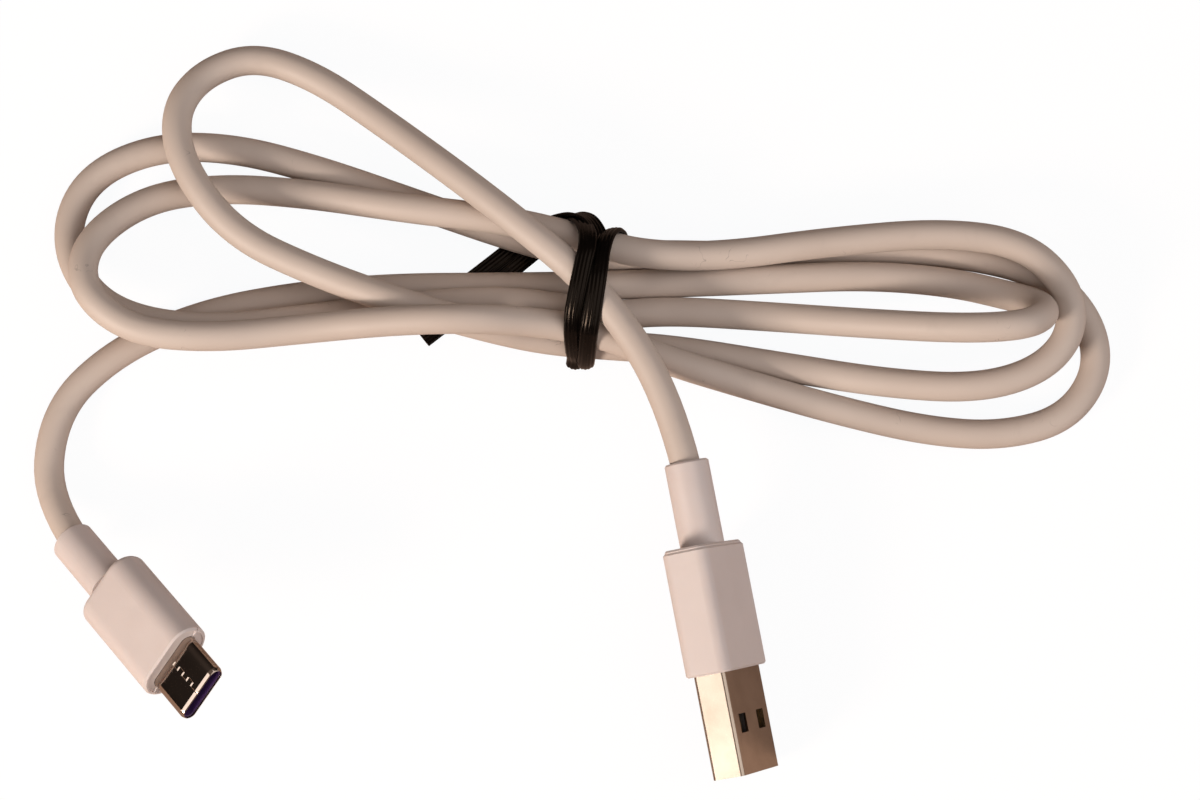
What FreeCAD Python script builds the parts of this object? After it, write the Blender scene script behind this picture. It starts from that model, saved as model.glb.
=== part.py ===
import FreeCAD, Part
import math
import os
from FreeCAD import Placement, Rotation, Vector

# A charging cable with a flat plug at one end and an oval plug at the other, wound into a
# loose hank and held by a black tie. Millimetres, +Z up. The hank lies on the floor at
# z = 0 with its middle over the origin.

# Cord
CORD_DIAMETER = 4.0
CORD_GRIP = 6.0
CORD_CLEARANCE = 0.05
BEND_SHARE = 0.45
BOOT_EDGE = 0.25
MIDDLE_SHIFT = Vector(-0.2, 0.6, 0)
PAST = 1.0

# Wires inside the cord, as they fan out in each plug
WIRE_DIAMETER = 0.95
WIRE_SPREAD = 0.5
WIRE_BORE = 2.9
WIRE_BEND_SHARE = 0.25
WIRE_COLOURS = ("red", "white", "green", "black")

# Flat plug, measured along its axis from the end of the cord
A_ROLL = -63.0
A_BOOT_OUT = 5.2
A_BOOT_DIAMETER = 5.9
A_BOOT_NECK = 4.2
A_BOOT_FLANGE = (8.0, 4.4, 1.0)
A_FLANGE_LENGTH = 1.0
A_HOUSING_LENGTH = 16.8
A_HOUSING_WIDTH = 13.8
A_HOUSING_HEIGHT = 6.6
A_HOUSING_CORNER = 1.5
A_HOUSING_EDGE = 0.25
A_LEDGE_LENGTH = 0.4
A_LEDGE_STEP = 0.28
A_WALL_REAR = 1.2
A_SHELL_WIDTH = 12.0
A_SHELL_HEIGHT = 4.5
A_SHELL_CORNER = 0.5
A_SHELL_WALL = 0.3
A_SHELL_OUT = 13.6
A_WINDOW_LENGTH = 2.5
A_WINDOW_WIDTH = 2.25
A_WINDOW_FROM_TIP = 5.4
A_WINDOW_SPREAD = 2.9
A_FIT = 0.05
A_TONGUE_TOP = -0.1
A_TONGUE_SETBACK = 0.8
A_CONTACT_WIDTH = 1.0
A_CONTACT_THICK = 0.25
A_CONTACT_SETBACK = 1.8
A_CONTACT_TAIL = 2.5
A_CONTACT_PLACES = {"power": 3.5, "data_minus": 1.0, "data_plus": -1.0, "ground": -3.5}
A_POCKET = (9.2, 2.8)
A_POCKET_LENGTH = 7.6
A_WIRE_BEND = 1.6
A_WIRE_END = 0.6

# Oval plug, measured along its axis from the end of the cord
C_ROLL = 23.3
C_BOOT_OUT = 4.0
C_BOOT_DIAMETER = 5.8
C_BOOT_NECK = 3.8
C_BOOT_FLANGE = (7.0, 4.0, 1.9)
C_FLANGE_LENGTH = 1.0
C_HOUSING_LENGTH = 16.0
C_HOUSING_WIDTH = 11.0
C_HOUSING_HEIGHT = 6.0
C_HOUSING_CORNER = 2.9
C_HOUSING_REAR_EDGE = 0.9
C_HOUSING_FRONT_EDGE = 0.25
C_FACE_INSET = 0.15
C_FACE_RIM = 0.5
C_PARTING_NOTCH = 0.3
C_WALL_REAR = 1.2
C_WALL_FRONT = 1.4
C_CAVITY = (9.2, 4.4, 2.1)
C_SHELL_WIDTH = 8.25
C_SHELL_HEIGHT = 2.4
C_SHELL_WALL = 0.28
C_SHELL_OUT = 6.65
C_SHELL_LIP = 0.2
C_SEAM_WIDTH = 0.28
C_SEAM_DEPTH = 0.06
C_SEAM_LEAD = 1.0
C_SEAM_TEETH = 5
C_SEAM_PITCH = 0.94
C_SEAM_STEP = 0.3
C_FIT = 0.05
C_LINING = 0.2
C_LINING_FIT = 0.02
C_LINING_SETBACK = 0.3
C_LINING_FROM_REAR = 1.0
C_MOUTH_DEPTH = 6.75
C_CONTACT_PITCH = 0.5
C_CONTACT_MIDDLE = 6.5
C_CONTACT_WIDTH = 0.25
C_CONTACT_THICK = 0.15
C_CONTACT_FIT = 0.03
C_CONTACT_SETBACK = 1.65
C_CONTACT_TAIL = 1.6
C_UPPER_PLACES = (1, 4, 5, 6, 7, 9, 12)
C_LOWER_PLACES = (1, 4, 9, 12)
C_LATCH_WIDTH = 6.6
C_LATCH_ARM = 0.25
C_LATCH_BASE = 1.0
C_LATCH_THICK = 0.3
C_LATCH_SETBACK = 2.25
C_CARD_LENGTH = 4.4
C_CARD_WIDTH = 6.8
C_CARD_THICK = 0.6
C_PAD_FROM_FRONT = 2.8
C_PAD_SPREAD = 1.7
C_RESISTOR = (1.0, 0.5, 0.35)
C_POCKET = (7.0, 2.7)
C_POCKET_LENGTH = 4.8
C_WIRE_BEND = 0.8

# Tie round the middle of the hank, and its two tails on the floor
TIE_WIDTH = 2.4
TIE_THICK = 0.48
TIE_RIB = 0.12
TIE_RIB_WIDTH = 0.4
TIE_RIB_PITCH = 0.8
TIE_GAP = 0.2
TIE_CLEARANCE = 0.08
TIE_BRIDGE = 6.0
TIE_MIDDLE = Vector(2.2, 15.0, 0)
TIE_SLANT = -7.0
TIE_BUNDLE = [
    (-7.0, 2.68), (6.05, 2.68), (6.9, 7.05), (2.75, 11.27), (-3.1, 11.25), (-5.8, 8.2), (-7.0, 3.7),
]
TIE_TAILS = [
    [Vector(2.2, 21.0, 0), Vector(-3.5, 22.2, 0), Vector(-20.0, 9.0, 0)],
    [Vector(2.2, 21.0, 0), Vector(-5.0, 24.1, 0), Vector(-15.9, 15.4, 0)],
]

# Route of the cord from the flat plug to the oval plug
ROUTE = [
    # lead of the flat plug, up to the tie
    (16.5, -15, 9.9), (14, -2, 11.2), (4.5, 13.5, 11.2),
    # large upper left loop
    (-10.5, 26, 11.4), (-25.5, 38.5, 5.2), (-35, 45.5, 3.2), (-43.5, 48.5, 3), (-50.5, 45.5, 4.2),
    (-54, 39.5, 5.9), (-52.5, 31.5, 6.7), (-45.5, 22.5, 6.4), (-34, 17, 7.3), (-21.5, 12, 9.9),
    (-11.5, 9.5, 8.1), (-3.5, 8.5, 3.9),
    # front right loop
    (5, 8, 2.8), (14, 7.5, 2.4), (28, 5.2, 2), (42.5, 2.2, 4.3), (54.5, 1, 6.4), (63, 3.5, 6.3),
    (67.5, 9, 6.2), (67, 15.5, 6.2), (61, 21, 6.2), (50, 22.5, 6.1), (35, 21.5, 6.1), (20, 19.5, 6.2),
    (9.5, 19.5, 7.6),
    # inner left loop
    (3, 21.5, 7), (-9, 24.5, 6.8), (-21, 26, 5.7), (-36, 29, 2.4), (-48, 30, 2), (-58, 28, 3.5),
    (-64.5, 21.5, 7.6), (-64.5, 14.5, 9.8), (-58, 9, 10.4), (-48, 7.5, 10.4), (-36, 9, 8.9),
    (-24, 9.5, 12.3), (-13.5, 9.5, 14), (-4, 10, 8.9),
    # outer right loop
    (4.5, 8.8, 6.8), (12.5, 5.2, 7.4), (24, 2.2, 4.1), (36.5, -1.2, 2), (48, -4, 2), (58, -4.7, 2),
    (66.5, -2, 2), (71, 5, 2), (70, 12.5, 2), (64, 17.7, 2), (53, 20.2, 2), (39, 21.5, 2),
    (23, 21.5, 2.1), (10.5, 21, 3.2),
    # outer left loop
    (2.5, 20.4, 2.9), (-7, 23.7, 2.7), (-20, 28.5, 2), (-34, 33, 2), (-46, 36, 2), (-57, 36, 2),
    (-66, 31.5, 2), (-69, 23.5, 2.4), (-65.5, 15, 4.4), (-58, 10.5, 6.4), (-47, 9.5, 6.3),
    (-34, 11.5, 4.3), (-21, 13, 5.3), (-10, 13.5, 6.3), (-2.5, 12.8, 5.7),
    # inner right loop
    (5, 12, 2.9), (13, 12.8, 2.8), (26, 12, 2.9), (40, 10.2, 6.8), (52, 8.6, 12), (59.5, 9, 13),
    (63.2, 10.8, 9.8), (63.2, 13, 5.2), (59.5, 14.5, 2.2), (51.5, 15.6, 2), (40, 16.6, 2),
    (27, 17.2, 2), (14, 16.8, 2.1),
    # lead of the oval plug
    (3, 16.2, 2.9), (-9, 16, 2.9), (-24, 16, 2.6), (-37, 15, 2), (-50, 12.5, 2), (-61.8, 7.2, 2),
    (-69.8, -1.1, 2), (-70.4, -14.2, 2.1), (-62.6, -22.9, 7.9),
]


def block(x0, x1, y0, y1, z0, z1):
    """Box between two corners."""
    return Part.makeBox(x1 - x0, y1 - y0, z1 - z0, Vector(x0, y0, z0))


def bar(x0, x1, width, height, corner):
    """Bar along X, width in Y and height in Z, with its four long edges rounded."""
    edges = []
    first = None
    last = None
    for quarter in range(4):
        side_y = 1 if quarter in (0, 3) else -1
        side_z = 1 if quarter in (0, 1) else -1
        middle = Vector(x0, side_y * (width / 2 - corner), side_z * (height / 2 - corner))
        on_arc = []
        for share in (0, 0.5, 1):
            angle = math.radians(90 * (quarter + share))
            on_arc.append(middle + Vector(0, corner * math.cos(angle), corner * math.sin(angle)))
        if last is not None and (on_arc[0] - last).Length > 1e-6:
            edges.append(Part.LineSegment(last, on_arc[0]).toShape())
        edges.append(Part.Arc(*on_arc).toShape())
        first = on_arc[0] if first is None else first
        last = on_arc[2]
    if (first - last).Length > 1e-6:
        edges.append(Part.LineSegment(last, first).toShape())
    return Part.Face(Part.Wire(edges)).extrude(Vector(x1 - x0, 0, 0))


def rod(x0, x1, diameter):
    """Round rod along X."""
    return Part.makeCylinder(diameter / 2, x1 - x0, Vector(x0, 0, 0), Vector(1, 0, 0))


def rim(solid, x):
    """Outline of the end face at x."""
    edges = []
    for edge in solid.Edges:
        box = edge.BoundBox
        if abs(box.XMin - x) < 1e-4 and abs(box.XMax - x) < 1e-4:
            edges.append(edge)
    return edges


def path(points, share, radii=None):
    """Straight runs joined by tangent arcs; each arc takes a share of its shorter run."""
    edges = []
    start = points[0]
    for before, corner, after in zip(points, points[1:], points[2:]):
        into = corner - before
        out = after - corner
        back = share * min(into.Length, out.Length)
        into.normalize()
        out.normalize()
        half_turn = into.getAngle(out) / 2
        radius = back / math.tan(half_turn)
        bulge = (out - into).normalize() * (radius / math.cos(half_turn) - radius)
        arc_start = corner - into * back
        arc_end = corner + out * back
        edges.append(Part.LineSegment(start, arc_start).toShape())
        edges.append(Part.Arc(arc_start, corner + bulge, arc_end).toShape())
        start = arc_end
        if radii is not None:
            radii.append(radius)
    edges.append(Part.LineSegment(start, points[-1]).toShape())
    return Part.Wire(edges)


def tube(points, diameter, share, radii=None):
    """Round tube along a path, with flat ends square to its first and last runs."""
    line = path(points, share, radii)
    ring = Part.Circle(points[0], points[1] - points[0], diameter / 2).toShape()
    return line.makePipeShell([Part.Wire([ring])], True, False), line.Length


def plug_frame(end, before, roll):
    """Frame of a plug: X along the last run of the cord, Z up before the roll about X."""
    ahead = (end - before).normalize()
    across = Vector(0, 0, 1).cross(ahead).normalize()
    level = Rotation(ahead, across, ahead.cross(across), "XYZ")
    return Placement(end, level.multiply(Rotation(Vector(1, 0, 0), roll)))


def boot(diameter, out, neck, wall, flange, flange_length):
    """Strain relief: sleeve on the cord, neck through the housing and flange behind its wall."""
    body = rod(-CORD_GRIP, out, diameter)
    body = body.makeChamfer(BOOT_EDGE, rim(body, -CORD_GRIP))
    body = body.fuse(rod(out, out + wall, neck))
    flange_end = out + wall + flange_length
    body = body.fuse(bar(out + wall, flange_end, *flange))
    body = body.cut(rod(-CORD_GRIP - PAST, 0, CORD_DIAMETER + 2 * CORD_CLEARANCE))
    return body.cut(rod(0, flange_end + PAST, WIRE_BORE)).removeSplitter()


def wires(prefix, bend_x, end_x, upper_z, lower_z, upper_y, lower_y):
    """Four wires: straight out of the cord, then aslant to the places they are soldered to."""
    made = {}
    ends = zip(WIRE_COLOURS, (1, 1, -1, -1), (upper_z, lower_z, upper_z, lower_z))
    for (colour, side, height), reach in zip(ends, (upper_y[0], lower_y[0], upper_y[1], lower_y[1])):
        start = Vector(0, side * WIRE_SPREAD, height)
        bend = Vector(bend_x, side * WIRE_SPREAD, height)
        end = Vector(end_x, reach, height)
        made[prefix + "_wire_" + colour] = tube([start, bend, end], WIRE_DIAMETER, WIRE_BEND_SHARE)[0]
    return made


def flat_plug():
    """Pieces of the flat plug in the plug's own frame."""
    rear = A_BOOT_OUT
    inside = rear + A_WALL_REAR
    flange_end = inside + A_FLANGE_LENGTH
    front = rear + A_HOUSING_LENGTH
    tip = front + A_SHELL_OUT
    seat = flange_end + A_POCKET_LENGTH
    cavity_width = A_SHELL_WIDTH + 2 * A_FIT
    cavity_height = A_SHELL_HEIGHT + 2 * A_FIT
    cavity_corner = A_SHELL_CORNER + A_FIT
    pieces = {}

    body = bar(rear + A_LEDGE_LENGTH, front, A_HOUSING_WIDTH, A_HOUSING_HEIGHT, A_HOUSING_CORNER)
    body = body.makeChamfer(A_HOUSING_EDGE, rim(body, front) + rim(body, rear + A_LEDGE_LENGTH))
    ledge_width = A_HOUSING_WIDTH - 2 * A_LEDGE_STEP
    ledge_height = A_HOUSING_HEIGHT - 2 * A_LEDGE_STEP
    ledge = bar(rear, rear + A_LEDGE_LENGTH, ledge_width, ledge_height, A_HOUSING_CORNER - A_LEDGE_STEP)
    body = body.fuse(ledge.makeChamfer(A_HOUSING_EDGE, rim(ledge, rear)))
    body = body.cut(bar(inside, front + PAST, cavity_width, cavity_height, cavity_corner))
    body = body.cut(rod(rear - PAST, inside + PAST, A_BOOT_NECK + 2 * A_FIT))
    pieces["usb_a_housing"] = body

    pieces["usb_a_strain_relief"] = boot(
        A_BOOT_DIAMETER, A_BOOT_OUT, A_BOOT_NECK, A_WALL_REAR, A_BOOT_FLANGE, A_FLANGE_LENGTH
    )

    mould = bar(flange_end, seat, A_SHELL_WIDTH, A_SHELL_HEIGHT, A_SHELL_CORNER)
    pocket_y = A_POCKET[0] / 2
    pocket_z = A_POCKET[1] / 2
    pieces["usb_a_inner_mould"] = mould.cut(
        block(flange_end - PAST, seat + PAST, -pocket_y, pocket_y, -pocket_z, pocket_z)
    )

    bore_width = A_SHELL_WIDTH - 2 * A_SHELL_WALL
    bore_height = A_SHELL_HEIGHT - 2 * A_SHELL_WALL
    bore_corner = A_SHELL_CORNER - A_SHELL_WALL
    shell = bar(seat, tip, A_SHELL_WIDTH, A_SHELL_HEIGHT, A_SHELL_CORNER)
    shell = shell.cut(bar(seat - PAST, tip + PAST, bore_width, bore_height, bore_corner))
    window_front = tip - A_WINDOW_FROM_TIP
    for side in (-1, 1):
        middle = side * A_WINDOW_SPREAD
        window = block(
            window_front - A_WINDOW_LENGTH, window_front,
            middle - A_WINDOW_WIDTH / 2, middle + A_WINDOW_WIDTH / 2, -A_SHELL_HEIGHT, A_SHELL_HEIGHT
        )
        shell = shell.cut(window)
    pieces["usb_a_shell"] = shell

    carrier_width = bore_width - 2 * A_FIT
    carrier_height = bore_height - 2 * A_FIT
    carrier = bar(seat, tip - A_TONGUE_SETBACK, carrier_width, carrier_height, bore_corner)
    carrier = carrier.cut(
        block(front, tip, -carrier_width, carrier_width, A_TONGUE_TOP, carrier_height)
    )
    contact_low = A_TONGUE_TOP - A_CONTACT_THICK
    contact_front = tip - A_CONTACT_SETBACK
    contact_rear = seat - A_CONTACT_TAIL
    for name, place in A_CONTACT_PLACES.items():
        left = place - A_CONTACT_WIDTH / 2
        right = place + A_CONTACT_WIDTH / 2
        slot = block(
            seat - PAST, contact_front + A_FIT, left - A_FIT, right + A_FIT, contact_low, A_TONGUE_TOP + A_FIT
        )
        carrier = carrier.cut(slot)
        pieces["usb_a_contact_" + name] = block(
            contact_rear, contact_front, left, right, contact_low, A_TONGUE_TOP
        )
    pieces["usb_a_contact_carrier"] = carrier.removeSplitter()

    places = list(A_CONTACT_PLACES.values())
    radius = WIRE_DIAMETER / 2
    pieces.update(wires(
        "usb_a", flange_end + A_WIRE_BEND, seat - A_WIRE_END, A_TONGUE_TOP + radius, contact_low - radius,
        (places[0], places[2]), (places[1], places[3])
    ))
    return pieces


def groove(start, end):
    """V-shaped cutter along a straight leg on a level face."""
    run = end - start
    aside = Vector(0, 0, 1).cross(run).normalize() * (C_SEAM_WIDTH / 2)
    corners = [start + aside, start - aside, start - Vector(0, 0, C_SEAM_DEPTH)]
    return Part.Face(Part.makePolygon(corners + corners[:1])).extrude(run)


def seam(start, end, top):
    """Cutters for the interlocked seam along the middle of a wide face, a shallow toothed groove."""
    turns = [(start - PAST, 0)]
    for tooth in range(C_SEAM_TEETH):
        along = start + C_SEAM_LEAD + tooth * C_SEAM_PITCH
        side = C_SEAM_STEP if tooth % 2 == 0 else -C_SEAM_STEP
        turns.append((along, turns[-1][1]))
        turns.append((along, 0 if tooth == C_SEAM_TEETH - 1 else side))
    turns.append((end + PAST, 0))
    legs = []
    for (x0, y0), (x1, y1) in zip(turns, turns[1:]):
        legs.append(groove(Vector(x0, y0, top), Vector(x1, y1, top)))
    return legs


def oval_plug():
    """Pieces of the oval plug in the plug's own frame."""
    rear = C_BOOT_OUT
    inside = rear + C_WALL_REAR
    flange_end = inside + C_FLANGE_LENGTH
    front = rear + C_HOUSING_LENGTH
    cavity_end = front - C_WALL_FRONT
    tip = front + C_SHELL_OUT
    seat = flange_end + C_POCKET_LENGTH
    hole_width = C_SHELL_WIDTH + 2 * C_FIT
    hole_height = C_SHELL_HEIGHT + 2 * C_FIT
    pieces = {}

    body = bar(rear, front, C_HOUSING_WIDTH, C_HOUSING_HEIGHT, C_HOUSING_CORNER)
    body = body.makeFillet(C_HOUSING_REAR_EDGE, rim(body, rear))
    body = body.makeChamfer(C_HOUSING_FRONT_EDGE, rim(body, front))
    inset_width = C_HOUSING_WIDTH - 2 * C_FACE_RIM
    inset_height = C_HOUSING_HEIGHT - 2 * C_FACE_RIM
    inset_corner = C_HOUSING_CORNER - C_FACE_RIM
    body = body.cut(bar(front - C_FACE_INSET, front + PAST, inset_width, inset_height, inset_corner))
    body = body.cut(bar(inside, cavity_end, *C_CAVITY))
    body = body.cut(bar(cavity_end - PAST, front + PAST, hole_width, hole_height, hole_height / 2))
    body = body.cut(rod(rear - PAST, inside + PAST, C_BOOT_NECK + 2 * C_FIT))
    notch = C_PARTING_NOTCH
    for side in (-1, 1):
        edge = side * C_HOUSING_WIDTH / 2
        body = body.cut(block(front - notch, front + PAST, edge - notch, edge + notch, -notch / 2, notch / 2))
    pieces["usb_c_housing"] = body

    pieces["usb_c_strain_relief"] = boot(
        C_BOOT_DIAMETER, C_BOOT_OUT, C_BOOT_NECK, C_WALL_REAR, C_BOOT_FLANGE, C_FLANGE_LENGTH
    )

    mould_width = C_CAVITY[0] - 2 * C_FIT
    mould_height = C_CAVITY[1] - 2 * C_FIT
    mould = bar(flange_end, cavity_end, mould_width, mould_height, C_CAVITY[2] - C_FIT)
    mould = mould.cut(bar(seat, cavity_end + PAST, hole_width, hole_height, hole_height / 2))
    pocket_y = C_POCKET[0] / 2
    pocket_z = C_POCKET[1] / 2
    pieces["usb_c_inner_mould"] = mould.cut(
        block(flange_end - PAST, seat, -pocket_y, pocket_y, -pocket_z, pocket_z)
    )

    bore_width = C_SHELL_WIDTH - 2 * C_SHELL_WALL
    bore_height = C_SHELL_HEIGHT - 2 * C_SHELL_WALL
    shell = bar(seat, tip, C_SHELL_WIDTH, C_SHELL_HEIGHT, C_SHELL_HEIGHT / 2)
    shell = shell.makeFillet(C_SHELL_LIP, rim(shell, tip))
    shell = shell.cut(bar(seat - PAST, tip + PAST, bore_width, bore_height, bore_height / 2))
    for leg in seam(front, tip, C_SHELL_HEIGHT / 2):
        shell = shell.cut(leg)
    pieces["usb_c_shell"] = shell

    lining_rear = seat + C_LINING_FROM_REAR
    lining_front = tip - C_LINING_SETBACK
    mouth = lining_front - C_MOUTH_DEPTH
    lining_width = bore_width - 2 * C_LINING_FIT
    lining_height = bore_height - 2 * C_LINING_FIT
    mouth_width = lining_width - 2 * C_LINING
    mouth_height = lining_height - 2 * C_LINING
    lining = bar(lining_rear, lining_front, lining_width, lining_height, lining_height / 2)
    lining = lining.cut(bar(mouth, lining_front + PAST, mouth_width, mouth_height, mouth_height / 2))

    card_top = C_CARD_THICK / 2
    contact_top = mouth_height / 2
    contact_low = contact_top - C_CONTACT_THICK
    contact_front = tip - C_CONTACT_SETBACK
    tail_front = lining_rear - C_CONTACT_FIT
    tail_rear = lining_rear - C_CONTACT_TAIL
    half = C_CONTACT_WIDTH / 2
    slack = C_CONTACT_FIT
    for row, sign, places in (("upper", 1, C_UPPER_PLACES), ("lower", -1, C_LOWER_PLACES)):
        for place in places:
            middle = (place - C_CONTACT_MIDDLE) * C_CONTACT_PITCH
            rise = tail_front - C_CONTACT_THICK
            strip = block(rise, contact_front, middle - half, middle + half, contact_low, contact_top)
            riser = block(rise, tail_front, middle - half, middle + half, card_top, contact_top)
            tail_top = card_top + C_CONTACT_THICK
            tail = block(tail_rear, tail_front, middle - half, middle + half, card_top, tail_top)
            slot = block(
                lining_rear - PAST, mouth + PAST, middle - half - slack, middle + half + slack,
                contact_low - slack, contact_top
            )
            contact = strip.fuse(riser).fuse(tail).removeSplitter()
            if sign < 0:
                contact = contact.mirror(Vector(0, 0, 0), Vector(0, 0, 1))
                slot = slot.mirror(Vector(0, 0, 0), Vector(0, 0, 1))
            lining = lining.cut(slot)
            pieces["usb_c_contact_%s_%d" % (row, place)] = contact

    latch_y = C_LATCH_WIDTH / 2
    latch_z = C_LATCH_THICK / 2
    latch_base = lining_rear + C_LATCH_BASE
    latch = block(lining_rear, tip - C_LATCH_SETBACK, -latch_y, latch_y, -latch_z, latch_z)
    opening = latch_y - C_LATCH_ARM
    latch = latch.cut(block(latch_base, tip, -opening, opening, -PAST, PAST))
    pieces["usb_c_latch_spring"] = latch
    slot_z = latch_z + slack
    slot_y = latch_y + slack
    lining = lining.cut(block(lining_rear - PAST, latch_base, -slot_y, slot_y, -slot_z, slot_z))
    for side in (-1, 1):
        edges = sorted((side * (opening - slack), side * slot_y))
        lining = lining.cut(block(lining_rear, mouth + PAST, edges[0], edges[1], -slot_z, slot_z))
    pieces["usb_c_insulator"] = lining

    card_rear = lining_rear - C_CARD_LENGTH
    card_y = C_CARD_WIDTH / 2
    pieces["usb_c_circuit_card"] = block(card_rear, lining_rear, -card_y, card_y, -card_top, card_top)
    length, width, height = C_RESISTOR
    pad = lining_rear - C_PAD_FROM_FRONT
    pieces["usb_c_resistor"] = block(
        pad - length / 2, pad + length / 2, -width / 2, width / 2, card_top, card_top + height
    )

    level = card_top + WIRE_DIAMETER / 2
    pieces.update(wires(
        "usb_c", flange_end + C_WIRE_BEND, pad, level, -level,
        (C_PAD_SPREAD, -C_PAD_SPREAD), (C_PAD_SPREAD, -C_PAD_SPREAD)
    ))
    return pieces


def belt(corners, grow):
    """Face inside a belt that runs straight between strands and round the outer ones."""
    points = [Vector(0, across, up) for across, up in corners]
    return Part.Face(Part.makePolygon(points + points[:1]).makeOffset2D(grow))


def strip(start, end, width, low, high, aside=0.0):
    """Flat strip on the floor from one point towards another."""
    run = end - start
    slab = Part.makeBox(run.Length, width, high - low, Vector(0, aside - width / 2, low))
    heading = math.degrees(math.atan2(run.y, run.x))
    return slab.transformed(Placement(start, Rotation(Vector(0, 0, 1), heading)).toMatrix(), True)


def twist_tie():
    """Ribbed tie: two turns round the bundle, joined underneath, and two tails."""
    inner = CORD_DIAMETER / 2 + TIE_CLEARANCE
    outer = inner + TIE_THICK
    hollow = belt(TIE_BUNDLE, inner)
    turn_face = belt(TIE_BUNDLE, outer).cut(hollow)
    rib_face = belt(TIE_BUNDLE, outer + TIE_RIB).cut(hollow)
    solid = None
    for side in (-1, 1):
        middle = side * (TIE_WIDTH + TIE_GAP) / 2
        turn = turn_face.extrude(Vector(TIE_WIDTH, 0, 0))
        turn.translate(Vector(middle - TIE_WIDTH / 2, 0, 0))
        solid = turn if solid is None else solid.fuse(turn)
        for rib_place in (-1, 0, 1):
            rib = rib_face.extrude(Vector(TIE_RIB_WIDTH, 0, 0))
            rib.translate(Vector(middle + rib_place * TIE_RIB_PITCH - TIE_RIB_WIDTH / 2, 0, 0))
            solid = solid.fuse(rib)
    bridge = TIE_BRIDGE / 2
    solid = solid.fuse(block(-TIE_WIDTH, TIE_WIDTH, -bridge, bridge, TIE_RIB, TIE_RIB + TIE_THICK))
    place = Placement(TIE_MIDDLE, Rotation(Vector(0, 0, 1), TIE_SLANT))
    solid = solid.transformed(place.toMatrix(), True)
    for start, fold, end in TIE_TAILS:
        solid = solid.fuse(strip(start, fold, TIE_WIDTH, 0, TIE_THICK))
        solid = solid.fuse(Part.makeCylinder(TIE_WIDTH / 2, TIE_THICK, fold))
        solid = solid.fuse(strip(fold, end, TIE_WIDTH, 0, TIE_THICK))
        for rib_place in (-1, 0, 1):
            aside = rib_place * TIE_RIB_PITCH
            solid = solid.fuse(strip(fold, end, TIE_RIB_WIDTH, TIE_THICK / 2, TIE_THICK + TIE_RIB, aside))
    solid = solid.removeSplitter()
    solid.translate(MIDDLE_SHIFT)
    return solid


route = [Vector(*point) + MIDDLE_SHIFT for point in ROUTE]
radii = []
cord, cord_length = tube(route, CORD_DIAMETER, BEND_SHARE, radii)
section = math.pi * CORD_DIAMETER ** 2 / 4
print("bend radii:", ", ".join("%.1f" % radius for radius in radii))
fullness = cord.Volume / section / cord_length
print("cord length %.1f, volume over section times length %.4f" % (cord_length, fullness))

nodes = {"cord": cord, "twist_tie": twist_tie()}
flat_frame = plug_frame(route[0], route[1], A_ROLL).toMatrix()
for name, piece in flat_plug().items():
    nodes[name] = piece.transformed(flat_frame, True)
oval_frame = plug_frame(route[-1], route[-2], C_ROLL).toMatrix()
for name, piece in oval_plug().items():
    nodes[name] = piece.transformed(oval_frame, True)

os.makedirs("parts", exist_ok=True)
for name, piece in nodes.items():
    solid = piece.Solids[0] if len(piece.Solids) == 1 else piece
    solid.exportStep("parts/" + name + ".step")
    box = solid.BoundBox
    print("%-28s solids %d valid %s volume %.2f z %.2f to %.2f" % (
        name, len(solid.Solids), solid.isValid(), solid.Volume, box.ZMin, box.ZMax
    ))
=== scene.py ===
"""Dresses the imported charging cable: its wound cord, the black tie, both plugs and the studio round them."""

import logging
import math
from dataclasses import dataclass, field
from enum import Enum

import bmesh
import bpy
from mathutils import Matrix, Vector


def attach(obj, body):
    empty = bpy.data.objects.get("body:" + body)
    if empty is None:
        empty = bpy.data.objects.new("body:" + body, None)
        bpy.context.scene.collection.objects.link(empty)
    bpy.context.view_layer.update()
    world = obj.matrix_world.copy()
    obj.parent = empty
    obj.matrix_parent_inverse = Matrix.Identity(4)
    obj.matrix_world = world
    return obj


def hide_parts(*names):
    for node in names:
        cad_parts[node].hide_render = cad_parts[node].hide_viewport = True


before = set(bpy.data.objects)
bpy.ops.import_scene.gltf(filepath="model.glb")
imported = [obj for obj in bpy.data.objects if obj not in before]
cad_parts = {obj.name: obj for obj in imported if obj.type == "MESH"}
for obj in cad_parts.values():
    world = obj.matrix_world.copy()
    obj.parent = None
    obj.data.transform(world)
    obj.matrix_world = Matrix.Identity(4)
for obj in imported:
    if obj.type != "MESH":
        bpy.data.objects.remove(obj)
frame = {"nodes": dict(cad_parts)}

LOG = logging.getLogger("charging_cable")
MM = 0.001
BODY = "root"
OVAL_ROLL = 23.3

Pair = tuple[float, float]
Row = tuple[float, float, float]
Ring = list[Vector]
Value = float | tuple[float, ...]
Socket = bpy.types.NodeSocket
Source = Socket | float


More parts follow.
